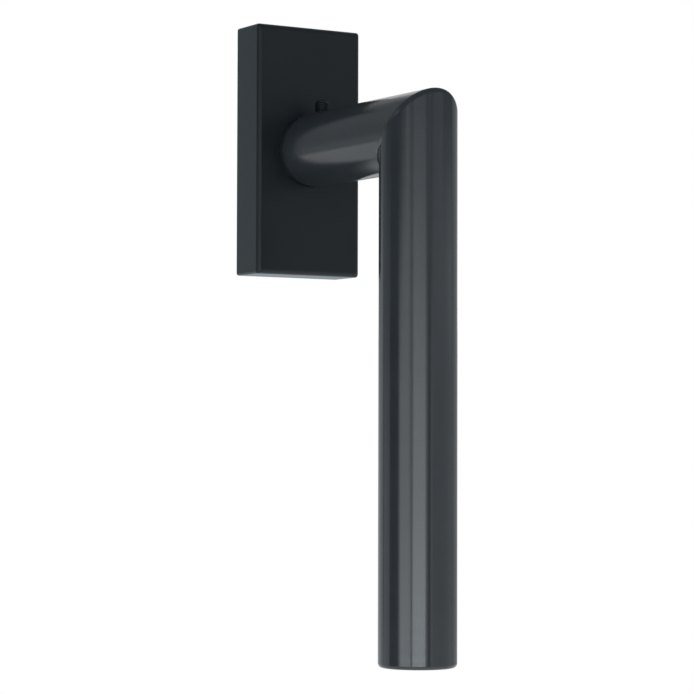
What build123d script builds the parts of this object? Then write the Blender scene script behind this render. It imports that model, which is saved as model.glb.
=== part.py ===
from build123d import *
from math import sqrt, tan, radians
import os

# A tilt-and-turn window handle: an L-shaped lever of mitred round tube on a rectangular rosette.
# The origin is on the spindle's axis at the face of the sash, with +Y into the sash, +Z up and the
# grip hanging down. A height is measured from the sash towards the room, so along -Y.

# Rosette: cover and base
rosette_width = 32.0
rosette_height = 67.5
rosette_depth = 12.0
cover_wall = 1.5
cover_front_round = 1.3
cover_corner_round = 0.5
cover_lift = 0.2
base_corner_round = 1.5
base_edge_break = 0.5

# Lever
tube_diameter = 20.0
tube_wall = 1.5
neck_reach = 54.0
neck_gap = 3.0
neck_edge_round = 0.8
grip_length = 135.5
grip_end_round = 1.4
insert_length = 22.0
insert_edge_break = 0.8
end_plug_length = 6.0
end_plug_edge_break = 0.5

# Spindle and its pin
spindle_width = 7.0
spindle_reach = 17.0
spindle_hold = 18.0
spindle_end_break = 0.8
spindle_corner_break = 0.3
pin_diameter = 2.0
pin_setback = 0.5
pin_end_break = 0.3

# Fixing screws and the pegs that they pass through
screw_spacing = 43.0
screw_diameter = 5.0
screw_shank_diameter = 4.4
screw_length = 25.0
screw_head_diameter = 9.2
screw_head_angle = 90.0
screw_tip_break = 0.5
screw_hole_diameter = 5.3
screw_slot_width = 1.1
screw_slot_length = 4.8
screw_slot_depth = 1.7
peg_diameter = 10.0
peg_length = 5.0
peg_edge_break = 0.4

# Grub screw, backed off as delivered
grub_diameter = 4.0
grub_length = 6.0
grub_setback = 3.5
grub_proud = 3.0
grub_key_width = 2.0
grub_key_depth = 2.0
grub_end_break = 0.6

# Detent and bearing
journal_wall = 1.0
journal_length = 4.0
rear_boss_height = 0.3
cam_lip = 1.5
cam_lift = 1.5
cam_thickness = 3.0
cam_edge_break = 0.3
leaf_thickness = 0.6
leaf_length = 24.0
leaf_room = 0.6
bush_wall = 3.3
bush_edge_round = 0.4
flange_rim = 1.4
flange_thickness = 1.0
thrust_washer_thickness = 0.7
thrust_washer_rim = 2.8
spring_washer_thickness = 0.35
spring_washer_bow = 0.25
spring_washer_rim = 1.2
glide_ring_thickness = 0.85
glide_ring_rim = 2.4

# Plate that closes the chamber, and its rivets
plate_thickness = 1.0
plate_inset = 0.1
plate_rim = 1.2
plate_corner_round = 2.0
peg_land = 0.6
rivet_diameter = 2.0
rivet_head_diameter = 3.2
rivet_head_angle = 90.0
rivet_length = 6.0

# Coring pockets in the back of the base, beside the pegs
pocket_wall = 1.4
pocket_floor = 3.0
pocket_round = 1.2

# Clips between the base and the cover
clip_thickness = 0.4
clip_length = 15.0
clip_width = 3.6
clip_pocket_depth = 1.1
clip_height = 4.5

# Clearances, each side
slip_fit = 0.2
close_fit = 0.05
seat_fit = 0.02
cover_face_fit = 0.3

# Sizes that follow from those above
base_width = rosette_width - 2 * (cover_wall + slip_fit)
base_height = rosette_height - 2 * (cover_wall + slip_fit)
base_depth = rosette_depth - cover_wall - cover_face_fit
tube_radius = tube_diameter / 2
bore_radius = tube_radius - tube_wall
socket_width = spindle_width + 2 * close_fit
journal_radius = socket_width / sqrt(2) + journal_wall
bearing_radius = journal_radius + close_fit
cam_width = 2 * (journal_radius + cam_lip)
cam_corner_radius = cam_width / 2 + cam_lift
bush_radius = bearing_radius + bush_wall
flange_radius = bush_radius + flange_rim
grub_hole_radius = grub_diameter / 2 + close_fit

# Heights of the stack on the spindle, from the sash to the room
plate_front = plate_inset + plate_thickness
spring_washer_back = plate_front + close_fit
cam_back = spring_washer_back + spring_washer_thickness + spring_washer_bow + close_fit
cam_front = cam_back + cam_thickness
thrust_washer_back = cam_front + close_fit
flange_back = thrust_washer_back + thrust_washer_thickness + close_fit
flange_front = flange_back + flange_thickness
journal_tip = cam_front + journal_length
spigot_tip = journal_tip + slip_fit
neck_end = rosette_depth + neck_gap
glide_ring_back = neck_end - close_fit - glide_ring_thickness
bush_front = glide_ring_back - close_fit
spindle_front = neck_end + spindle_hold
grip_axis = rosette_depth + neck_reach
pin_height = (cam_back + cam_front) / 2
grub_height = neck_end + grub_setback

# Chamber, plate and fixing places on the base
screw_z = screw_spacing / 2
chamber_half_width = cam_corner_radius + leaf_thickness + leaf_room
chamber_half_height = leaf_length / 2 + slip_fit
chamber_floor = thrust_washer_back
recess_half_width = base_width / 2 - plate_rim
recess_half_height = screw_z - peg_diameter / 2 - peg_land
rivet_z = (chamber_half_height + recess_half_height) / 2


def room_plane(height):
    """A plane across the spindle at a height above the sash, facing the room."""
    return Plane.XZ.offset(height)


def sash_plane(height):
    """A plane across the spindle at a height above the sash, facing the sash."""
    return Plane(origin=(0, -height, 0), x_dir=(-1, 0, 0), z_dir=(0, 1, 0))


def cone_depth(wide, narrow, angle):
    """Depth of a countersunk head that narrows from one diameter to another."""
    return (wide - narrow) / 2 / tan(radians(angle / 2))


def bowed_strip(half_length, inner_end, inner_middle, thickness):
    """The outline of a bowed spring strip: its ends lie along local X and its crown along local Y."""
    outer_end = inner_end + thickness
    with BuildSketch() as outline:
        with BuildLine():
            ThreePointArc((-half_length, inner_end), (0, inner_middle), (half_length, inner_end))
            Line((half_length, inner_end), (half_length, outer_end))
            ThreePointArc((half_length, outer_end), (0, inner_middle + thickness), (-half_length, outer_end))
            Line((-half_length, outer_end), (-half_length, inner_end))
        make_face()
    return outline.sketch


def washer(outer_radius, inner_radius, back, thickness):
    """A flat ring on the spindle's axis."""
    with BuildPart() as ring:
        with BuildSketch(room_plane(back)):
            Circle(outer_radius)
            Circle(inner_radius, mode=Mode.SUBTRACT)
        extrude(amount=thickness)
    return ring


os.makedirs("parts", exist_ok=True)

# Cover: a shell, open at the back, with a hole that the bush stands out through. Its front edges are
# rounder than its corners, so each pair of them is cut by an outline of its own.
with BuildPart() as rosette_cover:
    with BuildSketch(room_plane(cover_lift)):
        RectangleRounded(rosette_width, rosette_height, cover_corner_round)
    extrude(amount=rosette_depth - cover_lift)
    for across, span, length in (
        (Plane.XY, rosette_width, rosette_height),
        (Plane(origin=(0, 0, 0), x_dir=(0, 0, 1), z_dir=(1, 0, 0)), rosette_height, rosette_width),
    ):
        with BuildSketch(across) as outline:
            Rectangle(span, 2 * rosette_depth)
            fillet(outline.vertices(), radius=cover_front_round)
        extrude(amount=length, both=True, mode=Mode.INTERSECT)
    with BuildSketch(room_plane(0)):
        Rectangle(rosette_width - 2 * cover_wall, rosette_height - 2 * cover_wall)
    extrude(amount=rosette_depth - cover_wall, mode=Mode.SUBTRACT)
    with BuildSketch(room_plane(0)):
        Circle(bush_radius + slip_fit)
    extrude(amount=rosette_depth, mode=Mode.SUBTRACT)
rosette_cover.part.label = "rosette_cover"
export_step(rosette_cover.part, "parts/rosette_cover.step")

# Base: a casting with two pegs, a chamber for the detent, coring pockets and a slot for each clip
pocket_inner = peg_diameter / 2 + pocket_wall
pocket_outer = base_width / 2 - pocket_wall
pocket_low = recess_half_height + pocket_wall
pocket_high = base_height / 2 - clip_pocket_depth - pocket_wall
with BuildPart() as base_plate:
    with BuildSketch(room_plane(0)):
        RectangleRounded(base_width, base_height, base_corner_round)
    extrude(amount=base_depth)
    chamfer(base_plate.edges().group_by(Axis.Y)[0], length=base_edge_break)
    with BuildSketch(room_plane(0)):
        with GridLocations(0, screw_spacing, 1, 2):
            Circle(peg_diameter / 2)
    extrude(amount=-peg_length)
    chamfer(base_plate.edges().group_by(Axis.Y)[-1], length=peg_edge_break)
    with BuildSketch(room_plane(0)):
        RectangleRounded(2 * recess_half_width, 2 * recess_half_height, plate_corner_round)
    extrude(amount=plate_front, mode=Mode.SUBTRACT)
    with BuildSketch(room_plane(0)):
        Rectangle(2 * chamber_half_width, 2 * chamber_half_height)
    extrude(amount=chamber_floor, mode=Mode.SUBTRACT)
    with BuildSketch(room_plane(0)):
        Circle(flange_radius + close_fit)
    extrude(amount=flange_front, mode=Mode.SUBTRACT)
    with BuildSketch(room_plane(0)):
        Circle(bush_radius + close_fit)
    extrude(amount=base_depth, mode=Mode.SUBTRACT)
    with BuildSketch(room_plane(0)):
        with GridLocations(pocket_inner + pocket_outer, pocket_low + pocket_high, 2, 2):
            RectangleRounded(pocket_outer - pocket_inner, pocket_high - pocket_low, pocket_round)
    extrude(amount=base_depth - pocket_floor, mode=Mode.SUBTRACT)
    with BuildSketch(room_plane(0)):
        with GridLocations(0, 2 * rivet_z, 1, 2):
            Circle(rivet_diameter / 2 + seat_fit)
    extrude(amount=plate_inset + rivet_length + seat_fit, mode=Mode.SUBTRACT)
    with BuildSketch(room_plane(clip_height - clip_width / 2 - slip_fit)):
        with GridLocations(0, base_height, 1, 2):
            Rectangle(clip_length + 2 * slip_fit, 2 * clip_pocket_depth)
    extrude(amount=clip_width + 2 * slip_fit, mode=Mode.SUBTRACT)
    with Locations(room_plane(base_depth)):
        with GridLocations(0, screw_spacing, 1, 2):
            CounterSinkHole(
                radius=screw_hole_diameter / 2,
                counter_sink_radius=screw_head_diameter / 2 + slip_fit,
                depth=base_depth + peg_length,
                counter_sink_angle=screw_head_angle,
            )
base_plate.part.label = "base_plate"
export_step(base_plate.part, "parts/base_plate.step")

# Clips: bowed strips in the end slots of the base, with their crowns against the cover
clip_seat = base_height / 2 - clip_pocket_depth + close_fit
clip_crown = rosette_height / 2 - cover_wall - close_fit - clip_thickness
with BuildPart() as cover_clips:
    with BuildSketch(room_plane(clip_height - clip_width / 2)):
        add(bowed_strip(clip_length / 2, clip_seat, clip_crown, clip_thickness))
    extrude(amount=clip_width)
    mirror(about=Plane.XY)
cover_clips.part.label = "cover_clips"
export_step(cover_clips.part, "parts/cover_clips.step")

# Bush: its flange seats behind the web of the base, and its collar stands out through the cover
with BuildPart() as collar_bush:
    with BuildSketch(room_plane(flange_back)):
        Circle(flange_radius)
    extrude(amount=flange_thickness)
    with BuildSketch(room_plane(flange_back)):
        Circle(bush_radius)
    extrude(amount=bush_front - flange_back)
    fillet(collar_bush.edges().group_by(Axis.Y)[0], radius=bush_edge_round)
    with BuildSketch(room_plane(flange_back)):
        Circle(bearing_radius)
    extrude(amount=bush_front - flange_back, mode=Mode.SUBTRACT)
collar_bush.part.label = "collar_bush"
export_step(collar_bush.part, "parts/collar_bush.step")

# Plate behind the chamber, with a bearing hole for the rotor and countersunk holes for the rivets
with BuildPart() as retainer_plate:
    with BuildSketch(room_plane(plate_inset)):
        RectangleRounded(
            2 * (recess_half_width - close_fit),
            2 * (recess_half_height - close_fit),
            plate_corner_round - close_fit,
        )
        Circle(bearing_radius, mode=Mode.SUBTRACT)
    extrude(amount=plate_thickness)
    with Locations(sash_plane(plate_inset)):
        with GridLocations(0, 2 * rivet_z, 1, 2):
            CounterSinkHole(
                radius=rivet_diameter / 2 + seat_fit,
                counter_sink_radius=rivet_head_diameter / 2 + seat_fit,
                depth=plate_thickness,
                counter_sink_angle=rivet_head_angle,
            )
retainer_plate.part.label = "retainer_plate"
export_step(retainer_plate.part, "parts/retainer_plate.step")

# Rivets: flush heads in the plate, shanks in the base
rivet_neck = plate_inset + cone_depth(rivet_head_diameter, rivet_diameter, rivet_head_angle)
rivet_tip = plate_inset + rivet_length
with BuildPart() as retainer_rivets:
    with BuildSketch(Plane.YZ):
        with BuildLine():
            Polyline(
                (-plate_inset, rivet_z),
                (-plate_inset, rivet_z + rivet_head_diameter / 2),
                (-rivet_neck, rivet_z + rivet_diameter / 2),
                (-rivet_tip, rivet_z + rivet_diameter / 2),
                (-rivet_tip, rivet_z),
                close=True,
            )
        make_face()
    revolve(axis=Axis((0, 0, rivet_z), (0, 1, 0)))
    mirror(about=Plane.XY)
retainer_rivets.part.label = "retainer_rivets"
export_step(retainer_rivets.part, "parts/retainer_rivets.step")

# Fixing screws: countersunk heads under the cover, threads that start past the pegs
screw_top = base_depth - slip_fit + close_fit
screw_neck = screw_top - cone_depth(screw_head_diameter, screw_shank_diameter, screw_head_angle)
screw_tip = screw_length - screw_top
thread_start = peg_length + slip_fit
with BuildPart() as mounting_screws:
    with BuildSketch(Plane.YZ):
        with BuildLine():
            Polyline(
                (-screw_top, screw_z),
                (-screw_top, screw_z + screw_head_diameter / 2),
                (-screw_neck, screw_z + screw_shank_diameter / 2),
                (thread_start, screw_z + screw_shank_diameter / 2),
                (thread_start, screw_z + screw_diameter / 2),
                (screw_tip - screw_tip_break, screw_z + screw_diameter / 2),
                (screw_tip, screw_z + screw_diameter / 2 - screw_tip_break),
                (screw_tip, screw_z),
                close=True,
            )
        make_face()
    revolve(axis=Axis((0, 0, screw_z), (0, 1, 0)))
    with BuildSketch(room_plane(screw_top)):
        with Locations((0, screw_z)):
            Rectangle(screw_slot_length, screw_slot_width)
            Rectangle(screw_slot_width, screw_slot_length)
    extrude(amount=-screw_slot_depth, mode=Mode.SUBTRACT)
    mirror(about=Plane.XY)
mounting_screws.part.label = "mounting_screws"
export_step(mounting_screws.part, "parts/mounting_screws.step")

# Leaf springs: bowed onto the flats of the cam, with their ends against the walls of the chamber
leaf_end = chamber_half_width - close_fit
leaf_crown = cam_width / 2 + close_fit + leaf_thickness
leaf_outline = bowed_strip(leaf_length / 2, leaf_end, leaf_crown, -leaf_thickness)
leaf_back = plate_front + close_fit
for side, turn in (("right", -90), ("left", 90)):
    with BuildPart() as detent_spring:
        with BuildSketch(room_plane(leaf_back)):
            add(leaf_outline, rotation=turn)
        extrude(amount=chamber_floor - close_fit - leaf_back)
    detent_spring.part.label = f"detent_spring_{side}"
    export_step(detent_spring.part, f"parts/detent_spring_{side}.step")

# Rotor: a square cam with rounded corners, a boss in the plate and a journal in the bush
with BuildPart() as detent_rotor:
    with BuildSketch(room_plane(cam_back)):
        Rectangle(cam_width, cam_width)
        Circle(cam_corner_radius, mode=Mode.INTERSECT)
    extrude(amount=cam_thickness)
    cam_edges = detent_rotor.edges().group_by(Axis.Y)
    chamfer(cam_edges[0] + cam_edges[-1], length=cam_edge_break)
    with BuildSketch(room_plane(rear_boss_height)):
        Circle(journal_radius)
    extrude(amount=journal_tip - rear_boss_height)
    with BuildSketch(room_plane(rear_boss_height)):
        Rectangle(socket_width, socket_width)
    extrude(amount=journal_tip - rear_boss_height, mode=Mode.SUBTRACT)
    with BuildSketch(Plane.XY):
        with Locations((0, -pin_height)):
            Circle(pin_diameter / 2 + seat_fit)
    extrude(amount=cam_width, both=True, mode=Mode.SUBTRACT)
detent_rotor.part.label = "detent_rotor"
export_step(detent_rotor.part, "parts/detent_rotor.step")

# Spindle: a square bar from inside the neck through the rosette into the sash
with BuildPart() as spindle:
    with BuildSketch(room_plane(-spindle_reach)):
        Rectangle(spindle_width, spindle_width)
    extrude(amount=spindle_reach + spindle_front)
    end_edges = spindle.edges().group_by(Axis.Y)
    chamfer(end_edges[0] + end_edges[-1], length=spindle_end_break)
    chamfer(spindle.edges().filter_by(Axis.Y), length=spindle_corner_break)
    with BuildSketch(Plane.XY):
        with Locations((0, -pin_height)):
            Circle(pin_diameter / 2 + seat_fit)
    extrude(amount=spindle_width, both=True, mode=Mode.SUBTRACT)
spindle.part.label = "spindle"
export_step(spindle.part, "parts/spindle.step")

# Pin through the rotor and the spindle, just short of the cam's flats
pin_half_length = cam_width / 2 - pin_setback
with BuildPart() as spindle_pin:
    with BuildSketch(Plane.XY.offset(-pin_half_length)):
        with Locations((0, -pin_height)):
            Circle(pin_diameter / 2)
    extrude(amount=2 * pin_half_length)
    chamfer(spindle_pin.edges().filter_by(GeomType.CIRCLE), length=pin_end_break)
spindle_pin.part.label = "spindle_pin"
export_step(spindle_pin.part, "parts/spindle_pin.step")

# Washers: a thrust washer before the cam, a glide ring before the neck, a bowed spring washer behind
washer_hole = journal_radius + 2 * close_fit
thrust_washer = washer(
    journal_radius + thrust_washer_rim, washer_hole, thrust_washer_back, thrust_washer_thickness
)
thrust_washer.part.label = "thrust_washer"
export_step(thrust_washer.part, "parts/thrust_washer.step")

glide_ring = washer(journal_radius + glide_ring_rim, washer_hole, glide_ring_back, glide_ring_thickness)
glide_ring.part.label = "glide_ring"
export_step(glide_ring.part, "parts/glide_ring.step")

spring_washer_radius = journal_radius + spring_washer_rim
with BuildPart() as spring_washer:
    with BuildSketch(Plane.XY):
        add(
            bowed_strip(
                spring_washer_radius,
                -spring_washer_back,
                -spring_washer_back - spring_washer_bow,
                -spring_washer_thickness,
            )
        )
    extrude(amount=spring_washer_radius, both=True)
    with BuildSketch(room_plane(plate_front)):
        Circle(spring_washer_radius)
        Circle(washer_hole, mode=Mode.SUBTRACT)
    extrude(amount=cam_back - plate_front, mode=Mode.INTERSECT)
spring_washer.part.label = "spring_washer"
export_step(spring_washer.part, "parts/spring_washer.step")

# Insert: a turned plug in the neck, with a spigot in the bush and a square socket for the spindle
with BuildPart() as neck_insert:
    with BuildSketch(room_plane(neck_end)):
        Circle(bore_radius - seat_fit)
    extrude(amount=insert_length)
    chamfer(neck_insert.edges().group_by(Axis.Y)[0], length=insert_edge_break)
    with BuildSketch(room_plane(spigot_tip)):
        Circle(journal_radius)
    extrude(amount=neck_end - spigot_tip)
    with BuildSketch(room_plane(spigot_tip)):
        Rectangle(socket_width, socket_width)
    extrude(amount=spindle_front + slip_fit - spigot_tip, mode=Mode.SUBTRACT)
    with BuildSketch(Plane.XY):
        with Locations((0, -grub_height)):
            Circle(grub_hole_radius)
    extrude(amount=tube_radius, mode=Mode.SUBTRACT)
neck_insert.part.label = "neck_insert"
export_step(neck_insert.part, "parts/neck_insert.step")

# Tubes of the lever, cut to one mitre plane where their axes cross
mitre = Plane(origin=(0, -grip_axis, 0), x_dir=(1, 0, 0), z_dir=(0, 1, 1))
with BuildPart() as neck_tube:
    with BuildSketch(room_plane(neck_end)):
        Circle(tube_radius)
        Circle(bore_radius, mode=Mode.SUBTRACT)
    extrude(amount=grip_axis + tube_diameter - neck_end)
    root_edge = neck_tube.edges().group_by(Axis.Y)[-1].sort_by(SortBy.RADIUS)[-1]
    fillet(root_edge, radius=neck_edge_round)
    with BuildSketch(Plane.XY):
        with Locations((0, -grub_height)):
            Circle(grub_hole_radius)
    extrude(amount=tube_diameter, mode=Mode.SUBTRACT)
    split(bisect_by=mitre, keep=Keep.TOP)
neck_tube.part.label = "neck_tube"
export_step(neck_tube.part, "parts/neck_tube.step")

with BuildPart() as grip_tube:
    with BuildSketch(Plane.XY.offset(-grip_length)):
        with Locations((0, -grip_axis)):
            Circle(tube_radius)
            Circle(bore_radius, mode=Mode.SUBTRACT)
    extrude(amount=grip_length + tube_diameter)
    end_edge = grip_tube.edges().group_by(Axis.Z)[0].sort_by(SortBy.RADIUS)[-1]
    fillet(end_edge, radius=min(grip_end_round, tube_wall - close_fit))
    split(bisect_by=mitre, keep=Keep.BOTTOM)
grip_tube.part.label = "grip_tube"
export_step(grip_tube.part, "parts/grip_tube.step")

# Plug in the mouth of the grip, flush with its end
with BuildPart() as grip_end_plug:
    with BuildSketch(Plane.XY.offset(-grip_length)):
        with Locations((0, -grip_axis)):
            Circle(bore_radius - seat_fit)
    extrude(amount=end_plug_length)
    chamfer(grip_end_plug.edges().group_by(Axis.Z)[-1], length=end_plug_edge_break)
grip_end_plug.part.label = "grip_end_plug"
export_step(grip_end_plug.part, "parts/grip_end_plug.step")

# Grub screw on top of the neck, with a hexagon socket
grub_top = tube_radius + grub_proud
with BuildPart() as grub_screw:
    with BuildSketch(Plane.XY.offset(grub_top)):
        with Locations((0, -grub_height)):
            Circle(grub_diameter / 2)
    extrude(amount=-grub_length)
    chamfer(grub_screw.edges().filter_by(GeomType.CIRCLE), length=grub_end_break)
    with BuildSketch(Plane.XY.offset(grub_top)):
        with Locations((0, -grub_height)):
            RegularPolygon(grub_key_width / 2, side_count=6, major_radius=False)
    extrude(amount=-grub_key_depth, mode=Mode.SUBTRACT)
grub_screw.part.label = "grub_screw"
export_step(grub_screw.part, "parts/grub_screw.step")
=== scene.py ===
"""Dresses a tilt-and-turn window handle and sets it in a plain white studio.

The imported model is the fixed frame, in metres: the origin is on the spindle's axis at the face of the
sash, +Y goes into the sash, +Z is up and the grip hangs down. The pieces that show from outside are
modelled again here with softer edges, threads and sockets. Every other piece keeps its mesh and gets a
finish of its own.
"""

from __future__ import annotations

import logging
import math
from dataclasses import dataclass, field, replace
from enum import Enum
from typing import Any

import bmesh
import bpy
from bmesh.types import BMEdge, BMesh, BMFace, BMVert
from bpy.types import Light, Material, Node, NodeSocket, NodeTree, Object, World
from mathutils import Matrix, Vector

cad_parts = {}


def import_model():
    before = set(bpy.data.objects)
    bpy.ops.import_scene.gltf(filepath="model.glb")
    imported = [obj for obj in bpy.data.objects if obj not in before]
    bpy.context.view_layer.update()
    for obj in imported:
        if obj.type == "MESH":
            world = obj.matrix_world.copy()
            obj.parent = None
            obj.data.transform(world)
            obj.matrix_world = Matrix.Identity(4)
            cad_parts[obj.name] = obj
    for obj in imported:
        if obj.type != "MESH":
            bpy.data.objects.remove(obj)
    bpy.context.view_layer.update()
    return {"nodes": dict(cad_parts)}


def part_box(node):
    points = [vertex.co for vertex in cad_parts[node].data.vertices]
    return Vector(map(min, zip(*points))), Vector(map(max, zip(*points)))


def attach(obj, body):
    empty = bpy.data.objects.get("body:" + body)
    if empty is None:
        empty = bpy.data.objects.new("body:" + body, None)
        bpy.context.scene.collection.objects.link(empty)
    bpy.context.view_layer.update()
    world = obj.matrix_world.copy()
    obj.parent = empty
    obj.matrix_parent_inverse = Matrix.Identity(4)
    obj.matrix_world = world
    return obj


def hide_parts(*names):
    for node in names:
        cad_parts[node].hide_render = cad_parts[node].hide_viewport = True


LOG = logging.getLogger("window_handle")
MM = 0.001
PICTURE_SIDE = 694
SENSOR_WIDTH = 36.0
WHITE = "#ffffff"
PAPER_WHITE = "#f4f4f4"
ROOM_WHITE = "#f2f8fb"
STUDIO_WHITE = "#eef6fb"
SHEEN_TINT = "#d8f0f8"
SHEEN_ROUGHNESS = 0.4
DRIFT_RANGE = (0.35, 0.65)  # most of what the noise of a slow drift gives
GRAIN_RANGE = (0.3, 0.7)  # most of what the noise of a grain gives
ACROSS_SCRATCHES = 0.25  # the way the gloss is drawn out, as a share of a turn from the scratches' own
RING_RATE = 20.0  # radians of the wave texture's rings in one unit of distance
MIX_SHARE, MIX_FROM, MIX_TO, MIX_RESULT = 0, 6, 7, 2  # a Mix node's sockets when it mixes colours
CREST_HALF, FOOT_HALF, FOOT_SUNK = 0.07, 0.46, 0.05  # a thread's ridge, in shares of its pitch
ROUND_STEPS = 128
SMALL_STEPS = 48
DRILL_STEPS = 50  # not a multiple of 4, so that no corner of the drill lies on an edge of the neck
WELD = 1e-6
REACH_TOLERANCE = 2e-6
SHARP_ANGLE = math.radians(32.0)
ACROSS = Vector((1.0, 0.0, 0.0))
MITRE = Vector((0.0, -1.0, -1.0)).normalized()


class Body(Enum):
    """The bodies that the joints move."""

    ROSETTE = "rosette"
    LEVER = "lever"
    GRUB_SCREW = "grub_screw"


class Slot(Enum):
    """The record's material slots of the pieces that are modelled again."""

    BLACKENED_STEEL = "blackened_steel"
    COATED_STEEL = "coated_steel"
    BLACK_NYLON = "black_nylon"
    ZINC_PLATED_STEEL = "zinc_plated_steel"
    BLACK_OXIDE_STEEL = "black_oxide_steel"


class Axis(Enum):
    """The axis of a turned piece, which lies across X."""

    Y = (0.0, 1.0, 0.0)
    Z = (0.0, 0.0, 1.0)

    @property
    def along(self) -> Vector:
        """The unit vector along the axis."""
        return Vector(self.value)


def linear(hex_colour: str) -> tuple[float, float, float, float]:
    """Turns an sRGB hex colour into linear values.

    Args:
        hex_colour: The colour as "#rrggbb".

    Returns:
        Linear red, green and blue, with an alpha of 1.
    """
    shares = [int(hex_colour[i:i + 2], 16) / 255 for i in (1, 3, 5)]
    red, green, blue = (s / 12.92 if s <= 0.04045 else ((s + 0.055) / 1.055) ** 2.4 for s in shares)
    return red, green, blue, 1.0


def add_node(
    tree: NodeTree, kind: str, inputs: dict[str | int, Any] | None = None, **settings: Any
) -> Node:
    """Adds a shader node, sets its options, and fills or links its inputs.

    Args:
        tree: The node tree that gets the node.
        kind: The node's type, without the ShaderNode in front.
        inputs: A value, or the output to link, for each input by name or number.
        **settings: The node's own options.

    Returns:
        The new node.
    """
    node = tree.nodes.new("ShaderNode" + kind)
    for name, value in settings.items():
        setattr(node, name, value)
    for name, value in (inputs or {}).items():
        if isinstance(value, NodeSocket):
            tree.links.new(value, node.inputs[name])
        else:
            node.inputs[name].default_value = value
    return node


def remap(
    tree: NodeTree,
    value: NodeSocket,
    source: tuple[float, float],
    target: tuple[float, float] = (0.0, 1.0),
    interpolation: str = "LINEAR",
) -> NodeSocket:
    """Adds a node that leads one range of values over to another.

    Args:
        tree: The node tree that gets the node.
        value: The output with the value.
        source: The ends of the range that it comes from, past which it is held.
        target: The ends of the range that it goes to.
        interpolation: How it runs from end to end.

    Returns:
        The output with the new value.
    """
    ends = dict(zip(("From Min", "From Max", "To Min", "To Max"), (*source, *target)))
    node = add_node(tree, "MapRange", {"Value": value, **ends}, interpolation_type=interpolation)
    return node.outputs["Result"]


def empty_tree(owner: Material | Light | World) -> NodeTree:
    """Gives a material, a lamp or the world an empty node tree.

    Args:
        owner: What gets the tree.

    Returns:
        The tree.
    """
    owner.use_nodes = True
    owner.node_tree.nodes.clear()
    return owner.node_tree


@dataclass(frozen=True)
class Finish:
    """A surface with a fine grain, a slow drift of tone and a roughness that follows the grain.

    Attributes:
        name: The material's name.
        colour: Its sRGB colour.
        drift_colour: The colour that the slow drift leads to.
        roughness: Middle roughness.
        roughness_spread: How far the grain moves the roughness each way.
        grain_mm: Size of one grain along X, Y and Z; a long one is a streak.
        drift_mm: Size of the slow drift of tone.
        relief_mm: Height of the grain.
        relief_strength: How much of that height shows.
        metallic: 1 for bare metal, 0 for a coat or a plastic.
        ior: Index of refraction of a coat or a plastic.
        specular: Level of the mirror share, where 0.5 leaves the index as it is.
        sheen: Strength of the soft sheen that shows at a flat angle.
        brushed_about: The axis of a tube that was brushed round and round.
        anisotropy: How far that draws the gloss out along the tube.
    """

    name: str
    colour: str
    drift_colour: str
    roughness: float
    roughness_spread: float
    grain_mm: tuple[float, float, float]
    drift_mm: float
    relief_mm: float
    relief_strength: float = 0.5
    metallic: float = 0.0
    ior: float = 1.5
    specular: float = 0.5
    sheen: float = 0.0
    brushed_about: Axis | None = None
    anisotropy: float = 0.0

    def relief(self, tree: NodeTree, place: NodeSocket) -> NodeSocket:
        """Draws the grain.

        Args:
            tree: The material's nodes.
            place: Object coordinates.

        Returns:
            The grain's height, from 0 to 1.
        """
        per_metre = tuple(1 / (size * MM) for size in self.grain_mm)
        spread = add_node(tree, "Mapping", {"Vector": place, "Scale": per_metre})
        grain = add_node(
            tree,
            "TexNoise",
            {"Vector": spread.outputs["Vector"], "Scale": 1.0, "Detail": 3.0, "Roughness": 0.6},
        )
        return grain.outputs["Fac"]

    def material(self) -> Material:
        """Gives the material, which is built the first time it is asked for.

        Returns:
            The material of this finish.
        """
        found = bpy.data.materials.get(self.name)
        if found:
            return found
        made = bpy.data.materials.new(self.name)
        tree = empty_tree(made)
        place = add_node(tree, "TexCoord").outputs["Object"]
        height = self.relief(tree, place)
        drifts_per_metre = 1 / (self.drift_mm * MM)
        drift = add_node(tree, "TexNoise", {"Vector": place, "Scale": drifts_per_metre, "Detail": 2.0})
        share = remap(tree, drift.outputs["Fac"], DRIFT_RANGE)
        tone = add_node(
            tree,
            "Mix",
            {MIX_SHARE: share, MIX_FROM: linear(self.colour), MIX_TO: linear(self.drift_colour)},
            data_type="RGBA",
        )
        smooth, dull = self.roughness - self.roughness_spread, self.roughness + self.roughness_spread
        bump = add_node(
            tree,
            "Bump",
            {"Height": height, "Strength": self.relief_strength, "Distance": self.relief_mm * MM},
        )
        shader = add_node(
            tree,
            "BsdfPrincipled",
            {
                "Base Color": tone.outputs[MIX_RESULT],
                "Roughness": remap(tree, height, GRAIN_RANGE, (smooth, dull)),
                "Normal": bump.outputs["Normal"],
                "Metallic": self.metallic,
                "IOR": self.ior,
                "Specular IOR Level": self.specular,
                "Sheen Weight": self.sheen,
                "Sheen Roughness": SHEEN_ROUGHNESS,
                "Sheen Tint": linear(SHEEN_TINT),
                "Anisotropic": self.anisotropy,
                "Anisotropic Rotation": ACROSS_SCRATCHES,
            },
        )
        if self.brushed_about:
            scratches = add_node(tree, "Tangent", direction_type="RADIAL", axis=self.brushed_about.name)
            tree.links.new(scratches.outputs["Tangent"], shader.inputs["Tangent"])
        add_node(tree, "OutputMaterial", {"Surface": shader.outputs["BSDF"]})
        return made


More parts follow.
